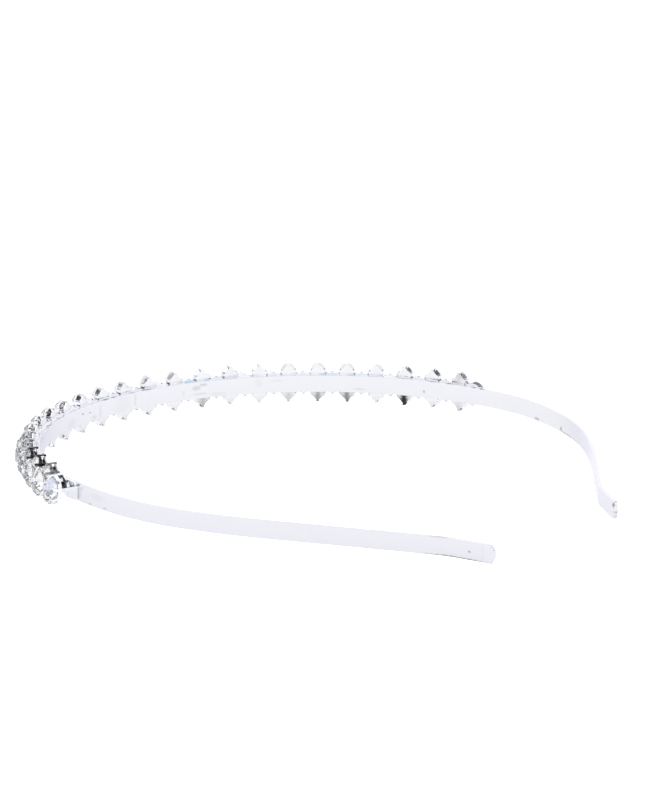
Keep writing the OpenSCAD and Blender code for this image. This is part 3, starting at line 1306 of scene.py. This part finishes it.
@dataclass(frozen=True)
class Claws:
    """A claw setting: base plate, gallery ring and four claws bent over the crystal.

    With a `star_waist` of 1 the base plate is a round dish. With less it is a four-pointed star,
    whose corners between the points are drawn in to that share, and on its lower side to
    `inner_waist`. Corners count as waist or point from `waist_from` or `point_from` of the reach.
    A claw gets `narrower` at its `knee`, a share of its rise, and at its `grip_knee`, a share of
    its grip, and its end is drawn in to `point`. With `bright` the ring and cup get a painted
    sheen, a lighter colour that stands in for bright reflections, and so do a dish's claws. Tarnish
    and painted shade for dark reflections are `open_wear` on the plate of an open setting. On that
    of a closed one they fall from `middle_wear` by `wear_fall` out to the side points.
    """

    cut: Cut
    star_waist: float = 1.0
    inner_waist: float = 1.0
    # Whether the ring and cup, and a dish's claws, get the painted sheen
    bright: bool = True
    back: Back = Back.OPEN
    corners: int = 8
    base: float = 0.3 * MM
    sink: float = 0.15 * MM
    gap: float = 0.06 * MM
    waist_from: float = 0.3
    waist_lift: float = 0.08 * MM
    point_from: float = 0.9
    point_lift: float = 0.04 * MM
    dish_steps: int = 40
    dish_rim: float = 0.35 * MM
    dish_depth: float = 0.1 * MM
    plate_round: float = 0.05 * MM
    plate_sharp: float = 30.0
    ring_steps: int = 36
    ring_below: float = 0.1 * MM
    ring_share: float = 0.4
    ring_round: float = 0.06 * MM
    ring_sharp: float = 50.0
    cup_angle: float = 57.0
    cup_wall: float = 0.05 * MM
    cup_sharp: float = 30.0
    claw_width: float = 0.7 * MM
    claw_thick: float = 0.3 * MM
    claw_round: float = 0.07 * MM
    claw_sharp: float = 30.0
    knee: float = 0.35
    shoulder_in: float = 0.05 * MM
    shoulder_rise: float = 0.1 * MM
    bend: float = 40.0
    grip: float = 0.7 * MM
    grip_knee: float = 0.6
    narrower: float = 0.85
    point: float = 0.6
    # Tarnish and painted shade of the plates
    open_wear: float = 0.15
    middle_wear: float = 1.3
    wear_fall: float = 1.1

    @property
    def starred(self) -> bool:
        """Whether the base plate is a star."""
        return self.star_waist < 1

    @property
    def reach(self) -> float:
        """Distance of the claws' outer faces from the middle."""
        return self.cut.radius + self.gap + self.claw_thick

    @property
    def ring_radius(self) -> float:
        """Outer radius of the gallery ring."""
        return self.cut.radius + self.gap + self.claw_thick / 2

    @property
    def brim(self) -> float:
        """Height of the top of the girdle."""
        return self.base + self.gap + self.cut.pavilion + self.cut.girdle

    @property
    def ring_top(self) -> float:
        """Height of the top of the gallery ring."""
        return self.brim - self.cut.girdle - self.ring_below

    @property
    def ring_height(self) -> float:
        """Height of the gallery ring itself."""
        return self.cut.pavilion * self.ring_share

    def _diagonal(self, c: Vector, n: Vector) -> bool:
        """Whether a corner of the star is at its waist."""
        return min(abs(c.x), abs(c.y)) > self.waist_from * self.reach

    def _plate(self, name: str) -> Piece:
        """Makes the base plate: a round dish, or a four-pointed star with a ridged back.

        Args:
            name: name of the piece.

        Returns:
            The plate.
        """
        bench = Bench(
            name,
            bpy.ops.mesh.primitive_circle_add,
            vertices=self.corners if self.starred else self.dish_steps,
            radius=self.reach if self.starred else self.cut.radius,
            fill_type="TRIFAN" if self.starred else "NGON",
            location=(0, 0, -self.sink),
        )
        bench.edit("VERT")
        if self.starred:
            bench.pick("VERT", self._diagonal)
            bench.resize(self.star_waist, self.star_waist, 1)
            bench.shift(0, 0, self.waist_lift)
            bench.pick("VERT", lambda c, n: self._diagonal(c, n) and c.y < 0)
            fuller = self.inner_waist / self.star_waist
            bench.resize(fuller, fuller, 1)
            bench.pick("VERT", lambda c, n: c.xy.length > self.point_from * self.reach)
            bench.shift(0, 0, self.point_lift)
        bench.pick_all("FACE")
        bench.extrude(0, 0, self.sink + self.base)
        if self.starred:
            bench.pick("VERT", lambda c, n: c.z > self.base / 2)
            bench.resize(1, 1, 0, (0, 0, self.base))
        else:
            bench.pick("FACE", lambda c, n: abs(c.z - self.base) < NEAR)
            bpy.ops.mesh.inset(thickness=self.dish_rim, depth=-self.dish_depth)
        bench.face_outwards()
        bench.done()
        bench.soften(self.plate_round, self.plate_sharp)
        return bench.piece

    def _ring(self, name: str) -> Piece:
        """Makes the gallery ring that joins the claws under the girdle.

        Args:
            name: name of the piece.

        Returns:
            The ring.
        """
        bench = Bench(
            name,
            bpy.ops.mesh.primitive_cylinder_add,
            vertices=self.ring_steps,
            radius=self.ring_radius,
            depth=self.ring_height,
            end_fill_type="NOTHING",
            location=(0, 0, self.ring_top - self.ring_height / 2),
        )
        bench.finish("SOLIDIFY", thickness=self.claw_thick / 2 + 2 * self.gap, offset=-1.0)
        bench.soften(self.ring_round, self.ring_sharp)
        return bench.piece

    def _cup(self, name: str) -> Piece:
        """Makes the thin wall that closes the gap between base plate and gallery ring.

        Args:
            name: name of the piece.

        Returns:
            The cup, or its lower half.
        """
        depth = self.ring_top - self.ring_height
        slanted = self.ring_radius - depth / math.tan(math.radians(self.cup_angle))
        bench = Bench(
            name,
            bpy.ops.mesh.primitive_cone_add,
            vertices=self.corners if self.starred else self.ring_steps,
            radius1=slanted if self.starred else self.cut.radius,
            radius2=self.ring_radius,
            depth=depth,
            end_fill_type="NOTHING",
            location=(0, 0, depth / 2),
            rotation=(0, 0, math.pi / self.corners),
        )
        if self.back is Back.LOWER_HALF:
            bench.edit("FACE")
            bench.pick("FACE", lambda c, n: c.y > 0)
            bpy.ops.mesh.delete(type="FACE")
            bench.done()
        bench.finish("SOLIDIFY", thickness=self.cup_wall, offset=-1.0)
        bench.smooth(self.cup_sharp)
        return bench.piece

    def _claw(self, name: str) -> Piece:
        """Makes one claw: up from the plate, past the girdle and bent over the crown.

        Args:
            name: name of the piece.

        Returns:
            The claw.
        """
        fall = Vector((self.cut.radius * (self.cut.table - 1), 0, self.cut.crown)).normalized()
        middle = (self.reach - self.claw_thick / 2, 0, 0)
        bend_at = (middle[0] - self.shoulder_in, 0, self.brim + self.shoulder_rise)
        rise = self.brim - self.base
        bench = Bench(name, bpy.ops.mesh.primitive_cube_add, size=1.0)
        bench.edit()
        bench.resize(self.claw_thick, self.claw_width, self.sink + self.base)
        bench.shift(middle[0], 0, (self.base - self.sink) / 2)
        bench.pick("FACE", lambda c, n: n.z > SQUARE)
        bench.extrude(0, 0, rise * self.knee)
        bench.resize(1, self.narrower, 1, middle)
        bench.extrude(0, 0, rise * (1 - self.knee))
        bench.extrude(-self.shoulder_in, 0, self.shoulder_rise)
        bpy.ops.transform.rotate(
            value=-math.radians(self.bend), orient_axis="Y", center_override=bend_at
        )
        bench.extrude(*(fall * self.grip * self.grip_knee))
        bench.resize(1, self.narrower, 1, middle)
        bench.extrude(*(fall * self.grip * (1 - self.grip_knee)))
        bench.resize(1, self.point, 1, middle)
        bench.done()
        bench.soften(self.claw_round, self.claw_sharp)
        return bench.piece

    def _quarters(self, claw: Piece) -> list[Piece]:
        """Copies a claw to the other three sides.

        Args:
            claw: the claw.

        Returns:
            All four claws.
        """
        claws = [claw]
        for quarter in range(1, 4):
            other = claw.copy()
            other.data = claw.data.copy()
            other.data.transform(Matrix.Rotation(quarter * math.pi / 2, 4, "Z"))
            bpy.context.scene.collection.objects.link(other)
            claws.append(other)
        return claws

    def _store_wear(self, plate: Piece, rims: Sequence[Piece], claws: Sequence[Piece]) -> None:
        """Stores where the metal gets a painted sheen, and where it is darkened by tarnish and by
        painted shade for dark reflections, for its material.

        Behind a cup the claws that point sideways stay clean, and the tarnish and painted shade of
        a star fade towards its side points.

        Args:
            plate: the base plate.
            rims: the gallery ring, and the cup if there is one.
            claws: the four claws.
        """
        closed = self.back is Back.CLOSED
        # Share of the painted sheen on rings, cups and dish claws
        painted_sheen_share = 1.0 if self.bright else 0.0
        mark_evenly(plate, rim=0.0, wear=1.0 if closed else self.open_wear)
        for piece in rims:
            mark_evenly(piece, rim=painted_sheen_share, wear=1.0 if self.starred and not closed else 0.0)
        for k, piece in enumerate(claws):
            tarnished_and_shaded = self.starred and (k % 2 == 1 or not closed)
            mark_evenly(piece, rim=0.0 if self.starred else painted_sheen_share, wear=float(tarnished_and_shaded))
        # The plate's tarnish and painted shade fall off towards the side points
        if self.starred and closed:
            fall = self.wear_fall / self.reach
            mark_points(
                plate, "wear", lambda co: min(1.0, self.middle_wear - fall * abs(co.x))
            )

    def build(self, name: str, finish: bpy.types.Material) -> Piece:
        """Makes a whole setting with its base on the origin.

        Args:
            name: name of the piece.
            finish: its material.

        Returns:
            The template that the settings are copied from.
        """
        claws = self._quarters(self._claw(name + "_claw"))
        plate = self._plate(name + "_plate")
        rims = [self._ring(name + "_ring")]
        if self.back is not Back.OPEN:
            rims.append(self._cup(name + "_cup"))
        self._store_wear(plate, rims, claws)
        whole = joined(name, [plate, *rims, *claws])
        dress(whole, finish)
        return whole


@dataclass
class Trim:
    """The trim on the outer face: backing strip, settings and crystals.

    Its middle is at `shift` along the strip, and the crystals drift off their even pitch by up to
    `drift`, in a wave of `drift_turn` for each crystal. Each `sway` is how far the settings of a
    row are out of true. Tones run from 0 to 1: of a crystal, from bright to smoky foil, and of a
    setting, from clean to black, by tarnish and by painted shade that stands in for dark
    reflections.
    Those that have no value of their own are drawn at random, up to `stone_tones` and
    `metal_tones`.
    `tarnished_and_shaded` lists the settings darkened by tarnish and painted shade, by row, place
    counted from 0 at the left end, and tone. `lacquered` counts places in the upper row in the same
    way.
    """

    curve: HeadCurve
    count: int = 25
    pitch: float = 6.9 * MM
    shift: float = -5.0 * MM
    drift: float = 0.6 * MM
    drift_turn: float = 20.0
    backing_in: float = 0.81 * MM
    backing_thick: float = 0.54 * MM
    backing_width: float = 4.0 * MM
    backing_step: float = 1.7
    backing_round: float = 0.07 * MM
    backing_sharp: float = 50.0
    tab: float = 5.8 * MM
    tab_corner: float = 1.4 * MM
    tab_steps: int = 8
    side_offset: float = 2.7 * MM
    centre_cut: Cut = Cut(2.55 * MM, 2.2 * MM, 1.4 * MM)
    side_cut: Cut = Cut(1.55 * MM, 1.5 * MM, 0.9 * MM)
    star_waist: float = 0.62
    upper_inner_waist: float = 0.95
    centre_sway: float = 1.5
    upper_sway: float = 4.0
    lower_sway: float = 2.5
    open_backs: int = 9
    stone_tones: float = 0.5
    metal_tones: float = 0.1
    centre_metal_tone: float = 0.05
    first_centre_tone: float = 0.57
    first_upper_tone: float = 0.82
    lacquered: tuple[int, ...] = (5, 6, 7, 8, 9)
    lacquer_tone: float = 0.96
    # Settings darkened by tarnish and by painted shade for dark reflections
    tarnished_and_shaded: tuple[tuple[Row, int, float], ...] = (
        (Row.UPPER, 0, 0.8),
        (Row.UPPER, 1, 0.95),
        (Row.UPPER, 2, 0.95),
        (Row.UPPER, 3, 0.6),
        (Row.UPPER, 4, 0.6),
        (Row.UPPER, 23, 0.4),
        (Row.LOWER, 14, 0.6),
        (Row.LOWER, 17, 0.36),
        (Row.LOWER, 18, 0.74),
        (Row.LOWER, 19, 0.80),
        (Row.LOWER, 21, 1.0),
        (Row.LOWER, 23, 0.3),
    )
    seed: int = 11
    pieces: list[Piece] = field(default_factory=list)

    def __post_init__(self) -> None:
        """Draws the hand-set seats of all settings, and the tones of stones and metal."""
        chance = random.Random(self.seed)
        out = self.backing_in + self.backing_thick
        self.centre_seats = [
            self._seat(chance, self.row_at(k), out, 0.0, self.centre_sway)
            for k in range(self.count)
        ]
        self.side_seats = {}
        for row in Row:
            above = row.value * self.side_offset
            sway = self.upper_sway if row is Row.UPPER else self.lower_sway
            self.side_seats[row] = [
                self._seat(chance, self.row_at(k + 0.5), out, above, sway)
                for k in range(self.pairs)
            ]
        self.centre_stones = self._tones(chance, self.count, self.stone_tones)
        self.side_stones = {
            row: self._tones(chance, self.pairs, self.stone_tones) for row in Row
        }
        self.centre_stones[0] = self.first_centre_tone
        self.side_stones[Row.UPPER][0] = self.first_upper_tone
        for k in self.lacquered:
            self.side_stones[Row.UPPER][k] = self.lacquer_tone
        self.centre_metal = [self.centre_metal_tone] * self.count
        self.side_metal = {
            row: self._tones(chance, self.pairs, self.metal_tones) for row in Row
        }
        for row, k, tone in self.tarnished_and_shaded:
            self.side_metal[row][k] = tone
        closed = self.pairs - self.open_backs
        self.side_backs = [Back.OPEN] * self.open_backs + [Back.CLOSED] * closed
        self.centre_backs = [Back.LOWER_HALF, *self.side_backs[1:], Back.OPEN]

    @property
    def pairs(self) -> int:
        """How many crystals there are in each side row."""
        return self.count - 1

    @staticmethod
    def _tones(chance: random.Random, count: int, most: float) -> list[float]:
        """Draws a number of tones, each up to the most."""
        return [most * chance.random() for _ in range(count)]

    def _seat(
        self, chance: random.Random, along: float, out: float, above: float, sway: float
    ) -> Matrix:
        """Finds a seat on the backing strip, a little out of true.

        Args:
            chance: source of the random turns.
            along: distance along the strip.
            out: distance outwards from its inner face.
            above: height above the middle of the strip.
            sway: the most that the seat turns about each of its axes.

        Returns:
            The frame of the seat.
        """
        tilt = [math.radians(chance.uniform(-sway, sway)) for _ in range(3)]
        seat = self.curve.seat(along, out, above)
        for angle, axis in zip(tilt, "XYZ"):
            seat = seat @ Matrix.Rotation(angle, 4, axis)
        return seat

    def row_at(self, k: float) -> float:
        """Finds a crystal along the strip.

        Args:
            k: number of a centre crystal, counted from 0 at the left end, or half a step more for
                the pair after it.

        Returns:
            Its distance along the strip.
        """
        turn = math.radians(self.drift_turn * (self.pairs - k - 0.5))
        return self.shift + (k - self.pairs / 2) * self.pitch - self.drift * math.cos(turn)

    def _round_tabs(self, bench: Bench, start: float, stop: float) -> None:
        """Rounds the corners of the end tabs.

        Args:
            bench: the bench with the backing strip on it, in edit mode.
            start: where the strip starts along the inner face.
            stop: where it ends.
        """
        ends = [self.curve.seat(s, self.backing_in, 0.0).translation for s in (start, stop)]
        close, apart = 0.3 * MM, self.backing_width / 4

        def corner(middle: Vector, way: Vector) -> bool:
            """Whether a level edge, which runs through the strip, is at a corner of a tab.

            Args:
                middle: middle of the edge.
                way: its direction.

            Returns:
                True at a corner.
            """
            return abs(way.z) < 1 - SQUARE and any(
                (middle.xy - end.xy).length < close and abs(middle.z - end.z) > apart
                for end in ends
            )

        bench.pick("EDGE", corner)
        bpy.ops.mesh.bevel(offset=self.tab_corner, segments=self.tab_steps, clamp_overlap=False)

    def backing(self, finish: bpy.types.Material) -> Piece:
        """Makes the backing strip with its rounded end tabs.

        Args:
            finish: its material.

        Returns:
            The backing strip.
        """
        start, stop = self.row_at(0) - self.tab, self.row_at(self.count - 1) + self.tab
        first = self.curve.seat(start, self.backing_in + self.backing_thick / 2, 0.0)
        heading = self.curve.place(start).heading
        bench = Bench(
            "backing_strip",
            bpy.ops.mesh.primitive_plane_add,
            size=1.0,
            rotation=(0, math.pi / 2, 0),
        )
        bench.edit()
        bench.resize(1, self.backing_thick, self.backing_width)
        bench.done()
        turned = Matrix.Rotation(-heading, 4, "Z")
        bench.piece.data.transform(Matrix.Translation(first.translation) @ turned)
        bench.edit()
        top, radius = self.curve.place(0.0), self.curve.crown.radius
        angle = (stop - start) / radius
        bpy.ops.mesh.spin(
            steps=math.floor(math.degrees(angle) / self.backing_step),
            angle=angle,
            center=(top.x, top.y - radius, 0.0),
            axis=(0, 0, 1),
        )
        bench.face_outwards()
        self._round_tabs(bench, start, stop)
        piece = bench.done()
        bench.soften(self.backing_round, self.backing_sharp)
        mark_evenly(piece, tone=0.0, rim=0.0, wear=0.0)
        dress(piece, finish)
        return piece

    def _keep(self, piece: Piece, slot: Slot, *nodes: str) -> None:
        """Puts a finished piece on the object in place of its solids.

        Args:
            piece: the piece.
            slot: its material slot; not used.
            nodes: the solids' nodes.
        """
        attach(piece, "root")
        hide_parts(*nodes)
        self.pieces.append(piece)

    def build_settings(self, finish: bpy.types.Material) -> None:
        """Makes the backing strip and the settings of all three rows.

        Args:
            finish: material of the metal.
        """
        self._keep(self.backing(finish), Slot.SETTINGS, "setting_trim")
        centre = Claws(self.centre_cut)
        rows = [("centre_settings", centre, self.centre_seats, self.centre_metal)]
        for row in Row:
            name = f"{row.name.lower()}_side_settings"
            upper = row is Row.UPPER
            inner = self.upper_inner_waist if upper else self.star_waist
            claws = Claws(self.side_cut, self.star_waist, inner, bright=not upper)
            rows.append((name, claws, self.side_seats[row], self.side_metal[row]))
        for name, claws, seats, tones in rows:
            copies = []
            backs = self.centre_backs if claws is centre else self.side_backs
            for back in dict.fromkeys(backs):
                setting = replace(claws, back=back).build(name + "_template", finish)
                chosen = [k for k in range(len(seats)) if backs[k] is back]
                copies += repeated(
                    setting, name, [seats[k] for k in chosen], [tones[k] for k in chosen]
                )
                discard(setting)
            self._keep(joined(name, copies), Slot.SETTINGS, "setting_trim")

    def build_crystals(self, glass: bpy.types.Material, foil: bpy.types.Material) -> None:
        """Makes the crystals of all three rows.

        Args:
            glass: material of the crowns.
            foil: material of the backs.
        """
        claws = Claws(self.centre_cut)
        lift = Matrix.Translation((0, 0, claws.base + claws.gap))
        stone = self.centre_cut.build("centre_stone", glass, foil)
        seats = [seat @ lift for seat in self.centre_seats]
        copies = repeated(stone, "centre_stone", seats, self.centre_stones)
        for k, copy in enumerate(copies, start=1):
            self._keep(copy, Slot.CRYSTAL, f"centre_crystal_{k:02d}")
        discard(stone)
        stone = self.side_cut.build("side_stone", glass, foil)
        for row in Row:
            name = f"{row.name.lower()}_side_stones"
            seats = [seat @ lift for seat in self.side_seats[row]]
            copies = repeated(stone, name, seats, self.side_stones[row])
            node = f"{row.name.lower()}_side_crystals"
            self._keep(joined(name, copies), Slot.CRYSTAL, node)
        discard(stone)


# The studio


@dataclass(frozen=True)
class Patches:
    """Two tints of the light that meet in soft patches.

    `edge` is where in the noise the second tint sets in, and `share` the most of it.
    """

    scale: float
    edge: tuple[float, float]
    tints: tuple[Colour, Colour]
    share: float = 1.0

    def colour(self, r: Recipe, way: Socket) -> Socket:
        """Adds the patches to a recipe and gives their colour."""
        noise = r.noise(way, self.scale, detail=1.0)
        return r.blend(r.spread(noise, *self.edge, (0.0, self.share)), *self.tints)


@dataclass(frozen=True)
class Lamp:
    """A square soft light that faces the origin, with its power in watts."""

    name: str
    place: tuple[float, float, float]
    size: float
    power: float


@dataclass
class Studio:
    """White table, soft light all round and the camera.

    The lens is given by its focal length and the picture's height, both in picture points. The
    surround is white walls, with a dark corner of the room behind the camera. Its bearings are in
    radians from the camera's side, and its heights are the upward part of a direction. A pair
    says where a border starts and ends. The corner is dark from `dark_low` up to `dark_high`, and
    as far as `dark_side` from its own bearing, with a pale window in it. The walls are brighter
    from `gleam_low` up to `gleam_high`, and gleam in patches where they are under the corner.
    """

    azimuth: float = -37.22
    elevation: float = 14.16
    distance: float = 1036.6 * MM
    target: tuple[float, float, float] = (27.6214 * MM, 41.0386 * MM, 4.61 * MM)
    focal_pixels: float = 4500.0
    frame_height: float = 807.0
    sensor: float = 36.0
    nearest: float = 0.01
    farthest: float = 50.0
    table_size: float = 12.0
    table_grey: Colour = (0.5, 0.5, 0.5)
    table_glow: float = 0.61
    table_glow_seen: float = 0.6
    lamps: tuple[Lamp, ...] = (
        Lamp("key", (-0.6, 0.3, 1.3), 1.2, 1.5),
        Lamp("fill", (0.9, 0.4, 1.1), 1.2, 1.0),
    )
    surround: float = 1.0
    walls: Patches = Patches(4.3, (0.5, 0.68), ((1.0, 1.0, 1.0), (0.62, 0.70, 0.96)), 0.5)
    dark_bearing: float = 0.20
    dark_side: tuple[float, float] = (0.88, 1.10)
    dark_low: tuple[float, float] = (0.58, 0.70)
    dark_high: tuple[float, float] = (0.88, 0.97)
    dark_scale: float = 3.1
    dark_ragged: float = 0.4
    room: Patches = Patches(1.7, (0.42, 0.60), ((0.012, 0.016, 0.03), (0.05, 0.045, 0.035)))
    window_bearing: float = 0.68
    window_side: tuple[float, float] = (0.12, 0.26)
    window_share: float = 0.9
    window_light: Colour = (0.40, 0.41, 0.45)
    gleam_low: tuple[float, float] = (0.08, 0.16)
    gleam_high: tuple[float, float] = (0.40, 0.50)
    low_walls: Colour = (1.2, 1.2, 1.22)
    gleam: Patches = Patches(6.1, (0.55, 0.62), ((1.4, 1.4, 1.4), (0.7, 0.98, 1.16)))

    def camera(self) -> None:
        """Makes the camera at the photograph's viewing angle."""
        data = bpy.data.cameras.new("camera")
        data.sensor_width = self.sensor
        data.lens = self.focal_pixels / self.frame_height * self.sensor
        data.clip_start, data.clip_end = self.nearest, self.farthest
        camera = bpy.data.objects.new("camera", data)
        bpy.context.scene.collection.objects.link(camera)
        a, e = math.radians(self.azimuth), math.radians(self.elevation)
        back = Vector((math.sin(a) * math.cos(e), -math.cos(a) * math.cos(e), math.sin(e)))
        camera.location = Vector(self.target) + back * self.distance
        camera.rotation_mode = "QUATERNION"
        camera.rotation_quaternion = (-back).to_track_quat("-Z", "Y")
        bpy.context.scene.camera = camera

    def table(self) -> None:
        """Makes the white table, lit through like a light table."""
        bench = Bench("table", bpy.ops.mesh.primitive_plane_add, size=self.table_size)
        material, r = new_material("white_table")
        seen = r.add("LightPath").outputs["Is Camera Ray"]
        glow = r.maths("MULTIPLY_ADD", seen, self.table_glow_seen, self.table_glow)
        r.principled(
            {
                "Base Color": self.table_grey,
                "Roughness": 0.8,
                "Specular IOR Level": 0.1,
                "Emission Color": (1.0, 1.0, 1.0),
                "Emission Strength": glow,
            }
        )
        dress(bench.piece, material)

    def _room(self, r: Recipe, way: Socket, bearing: Socket) -> Socket:
        """Adds the dark corner of the room, with a pale window in it.

        Args:
            r: recipe of the world.
            way: socket with the direction.
            bearing: socket with its bearing.

        Returns:
            The socket of its colour.
        """
        aside = r.maths("ABSOLUTE", r.maths("SUBTRACT", bearing, self.window_bearing))
        window = r.spread(aside, *self.window_side, (self.window_share, 0.0))
        return r.blend(window, self.room.colour(r, way), self.window_light)

    def world(self) -> None:
        """Makes the soft light all round, with the dark room behind the camera."""
        world = bpy.data.worlds.new("studio")
        world.use_nodes = True
        bpy.context.scene.world = world
        r = Recipe(world.node_tree)
        way = r.add("TexCoord").outputs["Generated"]
        turn = (0.0, 0.0, -math.radians(self.azimuth))
        turned = r.add("Mapping", {"Vector": way, "Rotation": turn}).outputs[0]
        parts = r.add("SeparateXYZ", {0: turned}).outputs
        height = parts["Z"]
        bearing = r.maths("ARCTAN2", parts["X"], r.maths("MULTIPLY", parts["Y"], -1.0))
        ragged = r.noise(way, self.dark_scale, detail=2.0)
        ragged = r.maths("MULTIPLY_ADD", ragged, self.dark_ragged, -self.dark_ragged / 2)
        aside = r.maths("ABSOLUTE", r.maths("SUBTRACT", bearing, self.dark_bearing))
        wedge = r.spread(r.maths("ADD", aside, ragged), *self.dark_side, FALLING)
        above = r.spread(height, *self.dark_low)
        below = r.spread(r.maths("ADD", height, ragged), *self.dark_high, FALLING)
        dark = r.maths("MULTIPLY", wedge, r.maths("MULTIPLY", above, below))
        above = r.spread(height, *self.gleam_low)
        below = r.spread(height, *self.gleam_high, FALLING)
        level = r.maths("MULTIPLY", above, below)
        walls = r.blend(level, self.walls.colour(r, way), self.low_walls)
        gleaming = r.maths("MULTIPLY", level, wedge)
        walls = r.blend(gleaming, walls, self.gleam.colour(r, way))
        colour = r.blend(dark, walls, self._room(r, way, bearing))
        background = r.add("Background", {"Color": colour, "Strength": self.surround})
        r.add("OutputWorld", {"Surface": background.outputs[0]})

    def lights(self) -> None:
        """Hangs the soft lights over the table."""
        for lamp in self.lamps:
            data = bpy.data.lights.new(lamp.name, "AREA")
            data.size, data.energy = lamp.size, lamp.power
            light = bpy.data.objects.new(lamp.name, data)
            light.location = lamp.place
            light.rotation_euler = (-Vector(lamp.place)).to_track_quat("-Z", "Y").to_euler()
            bpy.context.scene.collection.objects.link(light)

    def build(self) -> None:
        """Makes camera, table and light."""
        self.camera()
        self.table()
        self.world()
        self.lights()
        bpy.context.scene.view_settings.view_transform = "Standard"
        bpy.context.scene.view_settings.look = "None"


def main() -> None:
    """Builds the headband and its studio, and reports each piece."""
    logging.basicConfig(level=logging.INFO, format="%(name)s: %(message)s")
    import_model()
    Studio().build()
    curve = HeadCurve()
    effects = Effects()
    strip = Strip(curve).build(SilverPlate().material(effects))
    trim = Trim(curve)
    trim.build_settings(SettingPlate().material(effects))
    trim.build_crystals(CutGlass().material(effects), Foil().material(effects))
    for piece in (strip, *trim.pieces):
        LOG.info("%s: %d faces", piece.name, len(piece.data.polygons))


if __name__ == "__main__":
    main()
